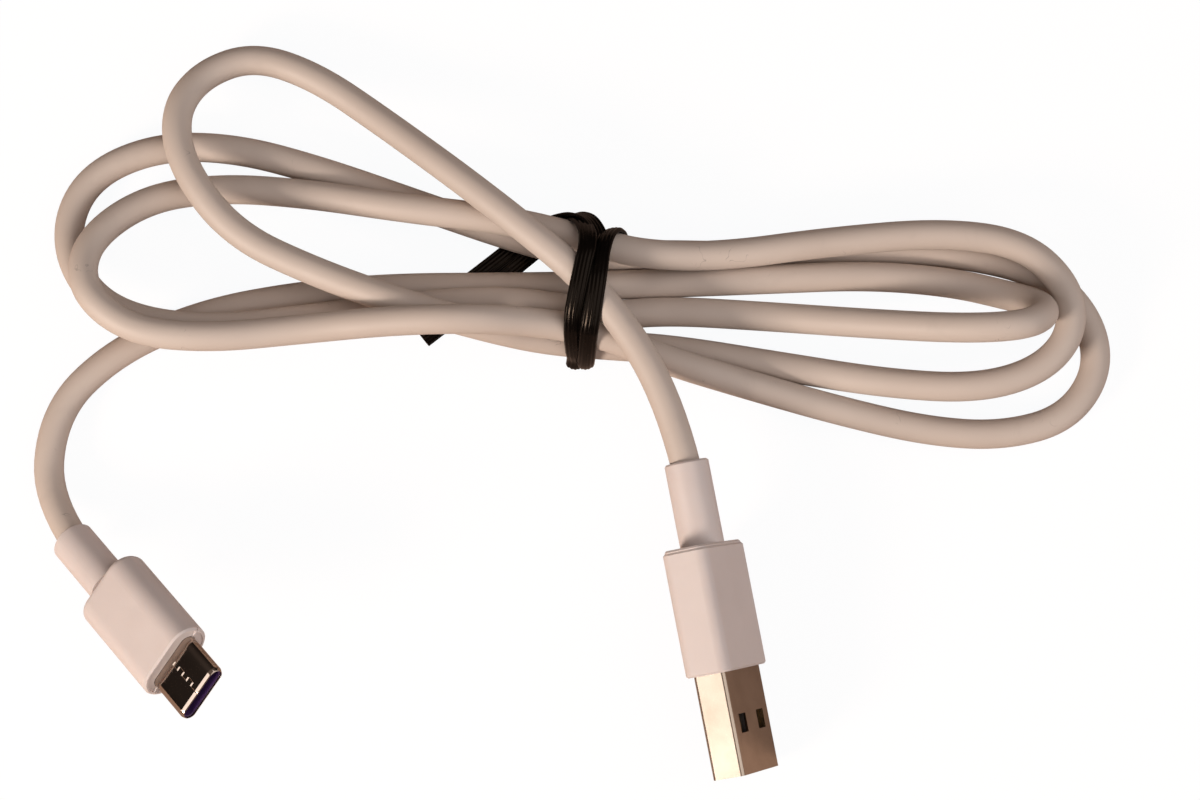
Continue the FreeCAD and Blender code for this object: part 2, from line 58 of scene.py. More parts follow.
class Tint(Enum):
    """Linear colours of the cable's finishes."""

    SHEATH = (0.585, 0.498, 0.438, 1.0)
    SHEATH_DEEP = (0.537, 0.450, 0.392, 1.0)
    PLUG = (0.680, 0.598, 0.570, 1.0)
    PLUG_DEEP = (0.642, 0.560, 0.532, 1.0)
    TIE = (0.0036, 0.0028, 0.0024, 1.0)
    TIE_DEEP = (0.0022, 0.0017, 0.0014, 1.0)
    DUST = (0.060, 0.045, 0.036, 1.0)
    NICKEL = (0.560, 0.470, 0.385, 1.0)
    NICKEL_DEEP = (0.450, 0.370, 0.295, 1.0)
    BRIGHT_PLATE = (0.520, 0.435, 0.370, 1.0)
    BRIGHT_PLATE_DEEP = (0.430, 0.350, 0.295, 1.0)
    LINING = (0.070, 0.030, 0.130, 1.0)
    LINING_DEEP = (0.040, 0.018, 0.080, 1.0)
    GOLD = (0.780, 0.560, 0.220, 1.0)
    GOLD_DEEP = (0.660, 0.450, 0.160, 1.0)
    MOULD = (0.760, 0.750, 0.740, 1.0)
    MOULD_DEEP = (0.680, 0.670, 0.655, 1.0)
    STEEL = (0.560, 0.560, 0.560, 1.0)
    STEEL_DEEP = (0.460, 0.460, 0.460, 1.0)
    CARD = (0.040, 0.200, 0.090, 1.0)
    CARD_DEEP = (0.025, 0.150, 0.065, 1.0)
    BLACK = (0.030, 0.030, 0.030, 1.0)
    BLACK_DEEP = (0.015, 0.015, 0.015, 1.0)
    RED = (0.520, 0.030, 0.030, 1.0)
    RED_DEEP = (0.400, 0.020, 0.020, 1.0)
    GREEN = (0.040, 0.320, 0.100, 1.0)
    GREEN_DEEP = (0.025, 0.240, 0.070, 1.0)
    WHITE = (0.780, 0.780, 0.760, 1.0)
    WHITE_DEEP = (0.700, 0.700, 0.680, 1.0)


class SocketKind(Enum):
    """Kinds of socket on a shared shader group."""

    COLOUR = "NodeSocketColor"
    NUMBER = "NodeSocketFloat"


class Arithmetic(Enum):
    """Sums that the shared shader groups work out."""

    PRODUCT = "MULTIPLY"
    DIFFERENCE = "SUBTRACT"
    SIZE = "ABSOLUTE"


def set_values(node: bpy.types.Node, values: dict[str, Value]) -> None:
    """Set plain values on a node's inputs.

    Args:
        node: The node.
        values: Value of each input by its name.
    """
    for label, value in values.items():
        node.inputs[label].default_value = value


class EffectGroup:
    """One shader node group in the making, with the few nodes that the shared effects need."""

    def __init__(self, name: str, inputs: dict[str, SocketKind], outputs: dict[str, SocketKind]) -> None:
        """Open a new group with named sockets.

        Args:
            name: Name of the group.
            inputs: Kind of each input by its name.
            outputs: Kind of each output by its name.
        """
        self.tree = bpy.data.node_groups.new(name, "ShaderNodeTree")
        for side, sockets in (("INPUT", inputs), ("OUTPUT", outputs)):
            for label, kind in sockets.items():
                self.tree.interface.new_socket(label, in_out=side, socket_type=kind.value)
        self.given = self.tree.nodes.new("NodeGroupInput").outputs
        self.result = self.tree.nodes.new("NodeGroupOutput").inputs
        self.place = self.tree.nodes.new("ShaderNodeTexCoord").outputs["Object"]

    def feed(self, socket: Socket, source: Source) -> None:
        """Link a source to a socket, or set the socket to a plain number.

        Args:
            socket: The socket to feed.
            source: Another node's output, or a number.
        """
        if isinstance(source, Socket):
            self.tree.links.new(source, socket)
        else:
            socket.default_value = source

    def noise(self, scale: Source, detail: float, roughness: float = 0.5, distortion: float = 0.0) -> Socket:
        """Add a noise over the piece.

        Args:
            scale: Its scale.
            detail: Number of finer layers.
            roughness: Strength of the finer layers.
            distortion: How far the noise is bent.

        Returns:
            The noise's value.
        """
        node = self.tree.nodes.new("ShaderNodeTexNoise")
        set_values(node, {"Detail": detail, "Roughness": roughness, "Distortion": distortion})
        self.feed(node.inputs["Vector"], self.place)
        self.feed(node.inputs["Scale"], scale)
        return node.outputs["Fac"]

    def ramp(
        self, value: Socket, span: Pair, smooth: bool = False, to: tuple[Source, Source] = (0.0, 1.0)
    ) -> Socket:
        """Stretch a span of values over another.

        Args:
            value: The value to stretch.
            span: The span that it comes from.
            smooth: Whether the ramp eases in and out.
            to: The span that it goes to.

        Returns:
            The stretched value.
        """
        node = self.tree.nodes.new("ShaderNodeMapRange")
        if smooth:
            node.interpolation_type = "SMOOTHSTEP"
        set_values(node, {"From Min": span[0], "From Max": span[1]})
        self.feed(node.inputs["Value"], value)
        self.feed(node.inputs["To Min"], to[0])
        self.feed(node.inputs["To Max"], to[1])
        return node.outputs["Result"]

    def work_out(self, kind: Arithmetic, first: Socket, second: Source = 0.0) -> Socket:
        """Work out one sum.

        Args:
            kind: Which sum.
            first: Its first value.
            second: Its second value, where it has one.

        Returns:
            The result.
        """
        node = self.tree.nodes.new("ShaderNodeMath")
        node.operation = kind.value
        self.feed(node.inputs[0], first)
        self.feed(node.inputs[1], second)
        return node.outputs["Value"]

    def mix(self, share: Socket, first: Socket, second: Socket) -> Socket:
        """Mix two colours.

        Args:
            share: Share of the second colour.
            first: First colour.
            second: Second colour.

        Returns:
            The mixed colour.
        """
        node = self.tree.nodes.new("ShaderNodeMix")
        node.data_type = "RGBA"
        self.feed(node.inputs["Factor"], share)
        self.feed(node.inputs["A"], first)
        self.feed(node.inputs["B"], second)
        return node.outputs["Result"]


class NodeGroups:
    """Shader effects that several finishes share, each built once.

    Each pair is a span of noise values: the middle that the mottle spreads over, and where marks fade in.
    """

    middle: Pair = (0.30, 0.70)
    smudge_edge: Pair = (0.56, 0.74)
    scuff_width: Pair = (0.012, 0.003)
    scuff_level: float = 0.5
    scuff_patch: float = 190.0
    scuff_patch_edge: Pair = (0.66, 0.71)

    def __init__(self) -> None:
        """Build every shared group."""
        self.mottle = self._mottle()
        self.smudge = self._smudge()
        self.scuff = self._scuff()

    def _mottle(self) -> bpy.types.NodeTree:
        """Slow colour drift with a fine grain, as moulded and extruded plastic shows.

        Returns:
            Group with the outputs Color, Roughness and Height.
        """
        colours = dict.fromkeys(("Light", "Deep"), SocketKind.COLOUR)
        numbers = dict.fromkeys(("Drift Scale", "Grain Scale", "Rough Low", "Rough High"), SocketKind.NUMBER)
        results = {"Color": SocketKind.COLOUR, "Roughness": SocketKind.NUMBER, "Height": SocketKind.NUMBER}
        group = EffectGroup("moulded_mottle", colours | numbers, results)
        given = group.given
        drift = group.noise(given["Drift Scale"], detail=3.0, roughness=0.55)
        grain = group.noise(given["Grain Scale"], detail=4.0, roughness=0.65)
        spread = group.ramp(drift, self.middle)
        rough = group.ramp(grain, self.middle, to=(given["Rough Low"], given["Rough High"]))
        group.feed(group.result["Color"], group.mix(spread, given["Deep"], given["Light"]))
        group.feed(group.result["Roughness"], rough)
        group.feed(group.result["Height"], grain)
        return group.tree

    @staticmethod
    def _marking(name: str, scale: str) -> EffectGroup:
        """Open a group that lays marks over a colour.

        Args:
            name: Name of the group.
            scale: Name of the input for the marks' scale.

        Returns:
            The group, with the output Color.
        """
        colours = dict.fromkeys(("Color", "Mark"), SocketKind.COLOUR)
        numbers = dict.fromkeys((scale, "Amount"), SocketKind.NUMBER)
        return EffectGroup(name, colours | numbers, {"Color": SocketKind.COLOUR})

    @staticmethod
    def _marked(group: EffectGroup, mask: Socket) -> bpy.types.NodeTree:
        """Finish a group that lays marks over a colour.

        Args:
            group: The group.
            mask: Where the marks are.

        Returns:
            The finished group.
        """
        given = group.given
        share = group.work_out(Arithmetic.PRODUCT, mask, given["Amount"])
        group.feed(group.result["Color"], group.mix(share, given["Color"], given["Mark"]))
        return group.tree

    def _smudge(self) -> bpy.types.NodeTree:
        """Handling marks: sparse soft patches, a little darker than the rest.

        Returns:
            Group with the output Color.
        """
        group = self._marking("handling_smudge", "Patch Scale")
        patch = group.noise(group.given["Patch Scale"], detail=5.0, roughness=0.6, distortion=0.4)
        return self._marked(group, group.ramp(patch, self.smudge_edge, smooth=True))

    def _scuff(self) -> bpy.types.NodeTree:
        """Few short, thin and curved scuffs, as a soft sheath collects them.

        Returns:
            Group with the output Color.
        """
        group = self._marking("hairline_scuff", "Line Scale")
        level = group.noise(group.given["Line Scale"], detail=1.0)
        away = group.work_out(Arithmetic.DIFFERENCE, level, self.scuff_level)
        line = group.ramp(group.work_out(Arithmetic.SIZE, away), self.scuff_width, smooth=True)
        patch = group.noise(self.scuff_patch, detail=2.0)
        few = group.ramp(patch, self.scuff_patch_edge, smooth=True)
        return self._marked(group, group.work_out(Arithmetic.PRODUCT, line, few))


@dataclass(frozen=True)
class Finish:
    """One surface finish of the cable, made from the shared groups and its own values."""

    name: str
    light: Tint
    deep: Tint
    rough: Pair
    drift_scale: float = 60.0
    grain_scale: float = 2500.0
    bump: float = 0.08
    bump_depth: float = 0.00004
    metallic: float = 0.0
    specular: float = 0.5
    gloss_tint: Row = (1.0, 1.0, 1.0)
    subsurface: float = 0.0
    subsurface_scale: float = 0.0006
    subsurface_radius: Row = (1.0, 0.75, 0.6)
    mark: Tint = Tint.DUST
    mark_scale: float = 140.0
    mark_amount: float = 0.04
    scuff_scale: float = 560.0
    scuff_amount: float = 0.0

    @staticmethod
    def placed(nodes: bpy.types.Nodes, tree: bpy.types.NodeTree, values: dict[str, Value]) -> bpy.types.Node:
        """Place a shared group in a material.

        Args:
            nodes: Nodes of the material.
            tree: The shared group.
            values: The finish's own values by the names of the group's inputs.

        Returns:
            The node that holds the group.
        """
        node = nodes.new("ShaderNodeGroup")
        node.node_tree = tree
        set_values(node, values)
        return node

    def build(self, groups: NodeGroups) -> bpy.types.Material:
        """Make the material.

        Args:
            groups: The shared shader groups.

        Returns:
            The finished material.
        """
        material = bpy.data.materials.new(self.name)
        material.use_nodes = True
        nodes, links = material.node_tree.nodes, material.node_tree.links
        mottle = self.placed(nodes, groups.mottle, {
            "Light": self.light.value, "Deep": self.deep.value,
            "Drift Scale": self.drift_scale, "Grain Scale": self.grain_scale,
            "Rough Low": self.rough[0], "Rough High": self.rough[1],
        })
        smudge = self.placed(nodes, groups.smudge, {
            "Mark": self.mark.value, "Patch Scale": self.mark_scale, "Amount": self.mark_amount,
        })
        scuff = self.placed(nodes, groups.scuff, {
            "Mark": self.mark.value, "Line Scale": self.scuff_scale, "Amount": self.scuff_amount,
        })
        bump = nodes.new("ShaderNodeBump")
        set_values(bump, {"Strength": self.bump, "Distance": self.bump_depth})
        shader = nodes["Principled BSDF"]
        links.new(mottle.outputs["Color"], smudge.inputs["Color"])
        links.new(smudge.outputs["Color"], scuff.inputs["Color"])
        links.new(scuff.outputs["Color"], shader.inputs["Base Color"])
        links.new(mottle.outputs["Roughness"], shader.inputs["Roughness"])
        links.new(mottle.outputs["Height"], bump.inputs["Height"])
        links.new(bump.outputs["Normal"], shader.inputs["Normal"])
        set_values(shader, {
            "Metallic": self.metallic,
            "Specular IOR Level": self.specular, "Specular Tint": (*self.gloss_tint, 1.0),
            "Subsurface Weight": self.subsurface, "Subsurface Scale": self.subsurface_scale,
            "Subsurface Radius": self.subsurface_radius,
        })
        return material


class Surface(Enum):
    """Finishes that a piece of the cable can have."""

    SHEATH = Finish(
        "soft_sheath", Tint.SHEATH, Tint.SHEATH_DEEP, (0.50, 0.60),
        drift_scale=45.0, grain_scale=2600.0, bump=0.06, mark_amount=0.05, scuff_amount=0.35,
    )
    PLUG = Finish(
        "satin_plug", Tint.PLUG, Tint.PLUG_DEEP, (0.40, 0.50),
        drift_scale=90.0, grain_scale=3200.0, bump=0.05, subsurface=0.15, mark_amount=0.03,
    )
    TIE = Finish(
        "ribbed_tie", Tint.TIE, Tint.TIE_DEEP, (0.10, 0.32),
        drift_scale=180.0, grain_scale=900.0, specular=0.15, gloss_tint=(1.0, 0.78, 0.62), mark_amount=0.06,
    )
    NICKEL = Finish(
        "plain_nickel", Tint.NICKEL, Tint.NICKEL_DEEP, (0.16, 0.24),
        drift_scale=160.0, grain_scale=4200.0, bump=0.04, metallic=1.0, mark_amount=0.08,
    )
    BRIGHT_PLATE = Finish(
        "bright_plate", Tint.BRIGHT_PLATE, Tint.BRIGHT_PLATE_DEEP, (0.07, 0.12),
        drift_scale=160.0, grain_scale=4200.0, bump=0.03, metallic=1.0,
    )
    LINING = Finish("dark_lining", Tint.LINING, Tint.LINING_DEEP, (0.35, 0.45))
    GOLD = Finish("thin_gold", Tint.GOLD, Tint.GOLD_DEEP, (0.20, 0.28), metallic=1.0)
    MOULD = Finish("pale_mould", Tint.MOULD, Tint.MOULD_DEEP, (0.45, 0.55))
    STEEL = Finish("spring_steel", Tint.STEEL, Tint.STEEL_DEEP, (0.25, 0.35), metallic=1.0)
    CARD = Finish("card_laminate", Tint.CARD, Tint.CARD_DEEP, (0.40, 0.50))
    DARK_PLASTIC = Finish("dark_plastic", Tint.BLACK, Tint.BLACK_DEEP, (0.40, 0.50))
    WIRE_RED = Finish("wire_red", Tint.RED, Tint.RED_DEEP, (0.45, 0.55))
    WIRE_WHITE = Finish("wire_white", Tint.WHITE, Tint.WHITE_DEEP, (0.45, 0.55))
    WIRE_GREEN = Finish("wire_green", Tint.GREEN, Tint.GREEN_DEEP, (0.45, 0.55))
    WIRE_BLACK = Finish("wire_black", Tint.BLACK, Tint.BLACK_DEEP, (0.45, 0.55))


class Workshop:
    """Makes meshes from rings of points, and hands out the finished materials."""

    def __init__(self) -> None:
        """Build the shared groups and every finish once."""
        groups = NodeGroups()
        self.materials = {surface: surface.value.build(groups) for surface in Surface}

    def dress(self, piece: bpy.types.Object, surface: Surface) -> None:
        """Give a piece one finish all over.

        Args:
            piece: The object to dress.
            surface: The finish.
        """
        piece.data.materials.clear()
        piece.data.materials.append(self.materials[surface])

    @staticmethod
    def skin(mesh: bmesh.types.BMesh, rings: list[Ring], closed: bool) -> None:
        """Join rings of equal length into a closed skin.

        Args:
            mesh: The mesh to add to.
            rings: Rings of points, one after the other.
            closed: Whether the last ring joins the first; otherwise both ends are capped.
        """
        made = [[mesh.verts.new(point) for point in ring] for ring in rings]
        count = len(made)
        around = len(made[0])
        for row in range(count if closed else count - 1):
            here, there = made[row], made[(row + 1) % count]
            for step in range(around):
                after = (step + 1) % around
                mesh.faces.new((here[step], here[after], there[after], there[step]))
        if not closed:
            mesh.faces.new(list(reversed(made[0])))
            mesh.faces.new(made[-1])

    @staticmethod
    def publish(mesh: bmesh.types.BMesh, name: str, sharp_degrees: float = 40.0) -> bpy.types.Object:
        """Turn a finished mesh into an object of the scene.

        Args:
            mesh: The mesh, freed here.
            name: Name of the object.
            sharp_degrees: Edges sharper than this stay sharp.

        Returns:
            The new object.
        """
        bmesh.ops.recalc_face_normals(mesh, faces=mesh.faces[:])
        data = bpy.data.meshes.new(name)
        mesh.to_mesh(data)
        mesh.free()
        for face in data.polygons:
            face.use_smooth = True
        data.set_sharp_from_angle(angle=math.radians(sharp_degrees))
        piece = bpy.data.objects.new(name, data)
        bpy.context.scene.collection.objects.link(piece)
        return piece


@dataclass
class Cord:
    """The wound cord: one smooth line from the flat plug to the oval plug, in millimetres."""

    diameter: float = 4.0
    length: float = 1010.0
    line_steps: int = 10
    round_steps: int = 10
    shift: Row = (-0.2, 0.6, 0.0)
    route: list[Row] = field(default_factory=lambda: [
        # lead of the flat plug, up to the tie
        (16.5, -15, 9.9), (14, -2, 11.2), (4.5, 13.5, 11.2),
        # large upper left loop
        (-10.5, 26, 11.4), (-25.5, 38.4, 5.6), (-35, 45.4, 3.6), (-43.5, 48.4, 3.2), (-50.5, 45.3, 4.6),
        (-53.8, 39.2, 7.1), (-52.2, 31.1, 8.7), (-45.3, 22.2, 8.1), (-34, 16.8, 8.4), (-21.5, 12, 10.2),
        (-11.5, 9.5, 8.1), (-3.5, 8.5, 3.9),
        # front right loop
        (5, 8, 2.8), (14, 7.5, 2.4), (28, 5.3, 2), (42.5, 2.5, 4.3), (54.5, 1.4, 6.4), (63, 3.9, 6.3),
        (67.5, 9, 6.2), (67, 15.5, 6.2), (61, 21.4, 6.2), (50, 22.9, 6.1), (35, 21.6, 6.1), (20, 19.5, 6.2),
        (9.5, 19.5, 7.6),
        # inner left loop
        (3, 21.5, 7), (-9, 24.5, 6.9), (-21, 26, 6.3), (-36, 28.9, 3.5), (-48, 29.9, 2.7), (-58, 27.8, 4.6),
        (-65.2, 21.2, 7.6), (-65.2, 14.0, 9.8), (-58.4, 8.5, 10.4), (-48, 7.5, 10.4), (-36, 9, 8.9),
        (-24, 9.5, 12.3), (-13.5, 9.5, 14), (-4, 10, 8.9),
        # outer right loop
        (4.5, 8.8, 6.8), (12.5, 5.2, 7.4), (24, 2.3, 4.1), (36.5, -0.9, 2), (48, -3.6, 2), (58, -4.3, 2),
        (66.8, -2, 2), (71.4, 4.4, 2), (70.5, 11.6, 2), (64.8, 18, 2), (53, 21, 2), (39, 21.4, 2),
        (23, 20.5, 2.1), (10.5, 20.5, 3.2),
        # outer left loop
        (2.5, 20.2, 2.9), (-7, 22.7, 2.7), (-20, 27.4, 2), (-34, 32.4, 2), (-46, 35.7, 2), (-57, 35.8, 2),
        (-66, 31.5, 2), (-69, 23.5, 2.4), (-65.5, 15, 4.4), (-58, 10.5, 6.4), (-47, 9.5, 6.3),
        (-34, 11.5, 4.3), (-21, 13, 5.3), (-10, 13.5, 6.3), (-2.5, 12.8, 5.7),
        # inner right loop
        (5, 12, 2.9), (13, 12.8, 2.8), (26, 12, 2.9), (40, 10.2, 6.8), (52, 8.5, 12), (59.8, 8.7, 13),
        (63.4, 10.7, 9.8), (63.4, 13.1, 5.4), (59.5, 14.9, 2.6), (51.5, 16.7, 3), (40, 17.5, 3.6),
        (27, 16.9, 3.9), (14, 16.6, 2.9),
        # lead of the oval plug
        (3, 16.2, 2.9), (-9, 16, 2.9), (-24, 16, 2.6), (-37, 15, 2), (-50, 12.5, 2), (-61.8, 7.2, 2),
        (-69.8, -1.1, 2), (-70.4, -14.2, 2.1), (-62.6, -22.9, 7.9),
    ])

    def points(self) -> list[Vector]:
        """Control points of the cord's line in metres."""
        return [(Vector(point) + Vector(self.shift)) * MM for point in self.route]

    def build(self, shop: Workshop) -> bpy.types.Object:
        """Make the cord as one smooth round curve.

        Args:
            shop: Source of the finishes.

        Returns:
            The cord.
        """
        points = self.points()
        line = bpy.data.curves.new("cord_line", "CURVE")
        line.dimensions = "3D"
        line.resolution_u = self.line_steps
        line.bevel_depth = self.diameter / 2 * MM
        line.bevel_resolution = self.round_steps
        line.use_fill_caps = True
        spline = line.splines.new("NURBS")
        spline.points.add(len(points) - 1)
        for slot, point in zip(spline.points, points):
            slot.co = (*point, 1.0)
        spline.order_u = 3
        spline.use_endpoint_u = True
        spline.use_smooth = True
        piece = bpy.data.objects.new("wound_cord", line)
        bpy.context.scene.collection.objects.link(piece)
        shop.dress(piece, Surface.SHEATH)
        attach(piece, BODY)
        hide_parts("cord")
        return piece


@dataclass(frozen=True)
class Leg:
    """One leg of a smooth line that passes through all its points."""

    start: Vector
    pull: Vector
    bend: Vector
    swing: Vector

    @classmethod
    def after(cls, spine: list[Row], index: int) -> "Leg":
        """Find the leg from one point to the next.

        Args:
            spine: Points of the line.
            index: Number of the leg's first point.

        Returns:
            The leg.
        """
        last = len(spine) - 1
        at = [Vector(spine[max(0, min(last, index + offset))]) for offset in (-1, 0, 1, 2)]
        bend = 2 * at[0] - 5 * at[1] + 4 * at[2] - at[3]
        swing = 3 * at[1] - at[0] - 3 * at[2] + at[3]
        return cls(at[1], at[2] - at[0], bend, swing)

    def place(self, share: float) -> Vector:
        """Point at a share of the leg."""
        return self.start + (self.pull * share + self.bend * share ** 2 + self.swing * share ** 3) / 2

    def heading(self, share: float) -> Vector:
        """Direction of the line at a share of the leg."""
        return (self.pull + 2 * self.bend * share + 3 * self.swing * share ** 2).normalized()


@dataclass
class TwistTie:
    """Black ribbed tie: one ribbon wound twice round the bundle, and the short tail of its other end.

    All sizes are in millimetres. The ribbon is bowed across its width, and more so in front of the bundle.
    """

    width: float = 2.5
    thick: float = 0.50
    rib: float = 0.05
    ribs: int = 5
    steps_per_rib: int = 6
    edge_round: float = 0.24
    bow: float = 0.22
    front_bow: float = 0.35
    front_line: float = 8.5
    front_reach: float = 2.5
    steps: int = 8
    sharp_degrees: float = 50.0
    flat: Row = (-0.625, 0.78, 0.0)
    over: Row = (-1.0, 0.0, 0.0)
    wound: list[Row] = field(default_factory=lambda: [
        # long tail on the floor, from its cut end
        (-20.2, 9.9, 0.32), (-13.4, 15.3, 0.32), (-6.9, 20.7, 0.34), (-4.2, 23.0, 0.7),
        # up behind the bundle
        (-2.3, 24.6, 2.3), (-0.7, 25.2, 4.9), (0.7, 25.05, 7.5), (1.7, 23.9, 9.9),
        # left turn over the top and down in front
        (2.15, 22.2, 11.8), (2.1, 20.1, 13.05), (1.65, 17.9, 13.65), (1.17, 15.5, 13.85), (0.7, 13.2, 13.2),
        (0.32, 11.1, 12.1), (0.2, 9.2, 10.5), (0.25, 7.7, 8.2), (0.4, 6.7, 5.6), (0.55, 6.3, 3.5),
        # across under the bundle
        (0.45, 5.75, 1.5), (0.9, 7.2, 0.6), (1.9, 9.6, 0.5), (3.2, 13.0, 0.42), (4.6, 17.5, 0.42),
        (5.8, 21.2, 0.5),
        # up behind the bundle again
        (6.1, 23.2, 1.8), (6.3, 23.7, 4.2), (6.0, 23.6, 6.6), (5.4, 23.2, 8.9), (4.6, 22.0, 10.9),
        # right turn over the top and down in front, to the end tucked in below
        (4.0, 19.9, 12.3), (3.7, 17.5, 13.3), (3.38, 15.0, 13.9), (3.02, 12.7, 13.5), (2.7, 10.6, 12.6),
        (2.36, 8.8, 11.3), (2.15, 7.3, 9.0), (2.0, 6.2, 6.4), (1.85, 5.6, 3.7), (1.8, 5.75, 1.7),
        (1.7, 6.8, 0.5), (1.6, 8.4, 0.33),
    ])
    short: list[Row] = field(default_factory=lambda: [
        # from under the turns, down behind the bundle
        (3.7, 21.3, 10.7), (3.2, 23.2, 9.9), (2.2, 24.7, 9.0), (0.6, 25.6, 7.3), (-1.2, 25.7, 5.2),
        (-3.2, 25.4, 2.5), (-5.6, 25.0, 0.8),
        # along the floor to its cut end
        (-8.8, 22.0, 0.54), (-16.1, 16.2, 0.52),
    ])

    def profile(self) -> list[Pair]:
        """Section of the ribbon, ribbed on both faces.

        Returns:
            Place across the ribbon and height over its middle, for each point round the section.
        """
        half = self.width / 2
        count = self.steps_per_rib * self.ribs
        face = []
        for step in range(count + 1):
            across = -half * math.cos(math.pi * step / count)
            reach = min(1.0, (half - abs(across)) / self.edge_round)
            crown = math.sqrt(1.0 - (1.0 - reach) ** 2)
            swell = self.rib * math.cos(2 * math.pi * across * self.ribs / self.width)
            face.append((across, (self.thick / 2 + swell) * crown))
        return face + [(across, -height) for across, height in reversed(face[1:-1])]

    def wound_sides(self) -> list[Row]:
        """Direction across the ribbon along the wound length.

        Returns:
            One direction for each point.
        """
        rise = [
            (-0.65, 0.70, 0.15), (-0.78, 0.35, 0.40), (-0.85, 0.05, 0.45), (-0.88, 0.0, 0.42),
            (-0.95, 0.0, 0.25),
        ]
        hook = [
            (-1.0, 0.0, 0.1), self.over, (-0.98, 0.0, -0.2), (-0.93, -0.1, -0.35), (-0.95, 0.0, -0.3),
            (-1.0, 0.0, -0.1),
        ]
        return [self.flat] * 3 + rise + [self.over] * 16 + hook + [self.over] * 11

    def short_sides(self) -> list[Row]:
        """Direction across the ribbon along the short tail.

        Returns:
            One direction for each point.
        """
        arch = [
            (-0.9, -0.3, 0.2), (-0.7, -0.4, 0.6), (-0.6, -0.35, 0.7), (-0.7, -0.2, 0.65), (-0.7, 0.0, 0.7),
            (-0.6, 0.35, 0.7), (-0.62, 0.7, 0.3),
        ]
        return arch + [self.flat] * 2

    def ring(self, section: list[Pair], place: Vector, ahead: Vector, side: Vector) -> Ring:
        """Set the section up at one place of the ribbon.

        Args:
            section: The ribbon's section.
            place: Middle of the ribbon there.
            ahead: Direction along the ribbon.
            side: Rough direction across it.

        Returns:
            The points round the section, in metres.
        """
        square = (side - ahead * side.dot(ahead)).normalized()
        up = square.cross(ahead)
        near = max(0.0, min(1.0, (self.front_line - place.y) / self.front_reach))
        bow = (self.bow + self.front_bow * near) / (self.width / 2) ** 2
        return [
            (place + square * across + up * (height - bow * across ** 2)) * MM for across, height in section
        ]

    def ribbon(self, mesh: bmesh.types.BMesh, spine: list[Row], sides: list[Row]) -> None:
        """Add one length of ribbon.

        Args:
            mesh: The mesh to add to.
            spine: Points along the middle of the ribbon.
            sides: Direction across the ribbon at each point.
        """
        section = self.profile()
        last = len(spine) - 1
        rings = []
        for index in range(last):
            leg = Leg.after(spine, index)
            for step in range(self.steps + (index == last - 1)):
                share = step / self.steps
                side = Vector(sides[index]).lerp(Vector(sides[index + 1]), share)
                rings.append(self.ring(section, leg.place(share), leg.heading(share), side))
        Workshop.skin(mesh, rings, closed=False)

    def build(self, shop: Workshop) -> bpy.types.Object:
        """Make the tie.

        Args:
            shop: Source of the finishes.

        Returns:
            The tie.
        """
        mesh = bmesh.new()
        self.ribbon(mesh, self.wound, self.wound_sides())
        self.ribbon(mesh, self.short, self.short_sides())
        piece = Workshop.publish(mesh, "ribbed_tie", self.sharp_degrees)
        shop.dress(piece, Surface.TIE)
        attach(piece, BODY)
        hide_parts("twist_tie")
        return piece


@dataclass(frozen=True)
class OvalFrame:
    """Frame of the oval plug: along the last run of the cord, across the plug and out of its wide face."""

    end: Vector
    ahead: Vector
    aside: Vector
    out: Vector

    @classmethod
    def at(cls, line: list[Vector], roll: float) -> "OvalFrame":
        """Find the frame.

        Args:
            line: Control points of the cord's line.
            roll: Turn of the plug about its axis in degrees.

        Returns:
            The frame at the end of the line.
        """
        ahead = (line[-1] - line[-2]).normalized()
        level = Vector((0, 0, 1)).cross(ahead).normalized()
        aside = Matrix.Rotation(math.radians(roll), 3, ahead) @ level
        return cls(line[-1], ahead, aside, ahead.cross(aside))

    def place(self, along: float, across: float, height: float) -> Vector:
        """Point in metres from millimetres in the plug's frame."""
        return self.end + (self.ahead * along + self.aside * across + self.out * height) * MM


@dataclass
class PartingRidges:
    """Moulding ridges on the front face of the oval housing, one at each end of the shell.

    Sizes are in millimetres, and places along the plug are measured from the end of the cord.
    """

    face: float = 19.85
    sunk: float = 0.05
    rise: float = 0.22
    half_width: float = 0.15
    steps: int = 8
    taper: list[Pair] = field(default_factory=lambda: [
        # distance from the plug's axis, and share of the full section
        (4.10, 0.7), (4.20, 1.0), (5.02, 1.0), (5.14, 0.6),
    ])

    def ring(self, plug: OvalFrame, across: float, share: float) -> Ring:
        """Half-round section of one ridge.

        Args:
            plug: Frame of the plug.
            across: Place across the plug.
            share: Share of the full section.

        Returns:
            The points round the section, in metres.
        """
        ring = []
        for step in range(self.steps + 1):
            angle = math.pi * step / self.steps
            along = self.face - self.sunk + self.rise * share * math.sin(angle)
            ring.append(plug.place(along, across, self.half_width * share * math.cos(angle)))
        return ring

    def build(self, shop: Workshop, plug: OvalFrame) -> bpy.types.Object:
        """Make both ridges.

        Args:
            shop: Source of the finishes.
            plug: Frame of the plug.

        Returns:
            The ridges.
        """
        mesh = bmesh.new()
        for side in (-1, 1):
            rings = [self.ring(plug, side * reach, share) for reach, share in self.taper]
            Workshop.skin(mesh, rings, closed=False)
        piece = Workshop.publish(mesh, "parting_ridges")
        shop.dress(piece, Surface.PLUG)
        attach(piece, BODY)
        return piece


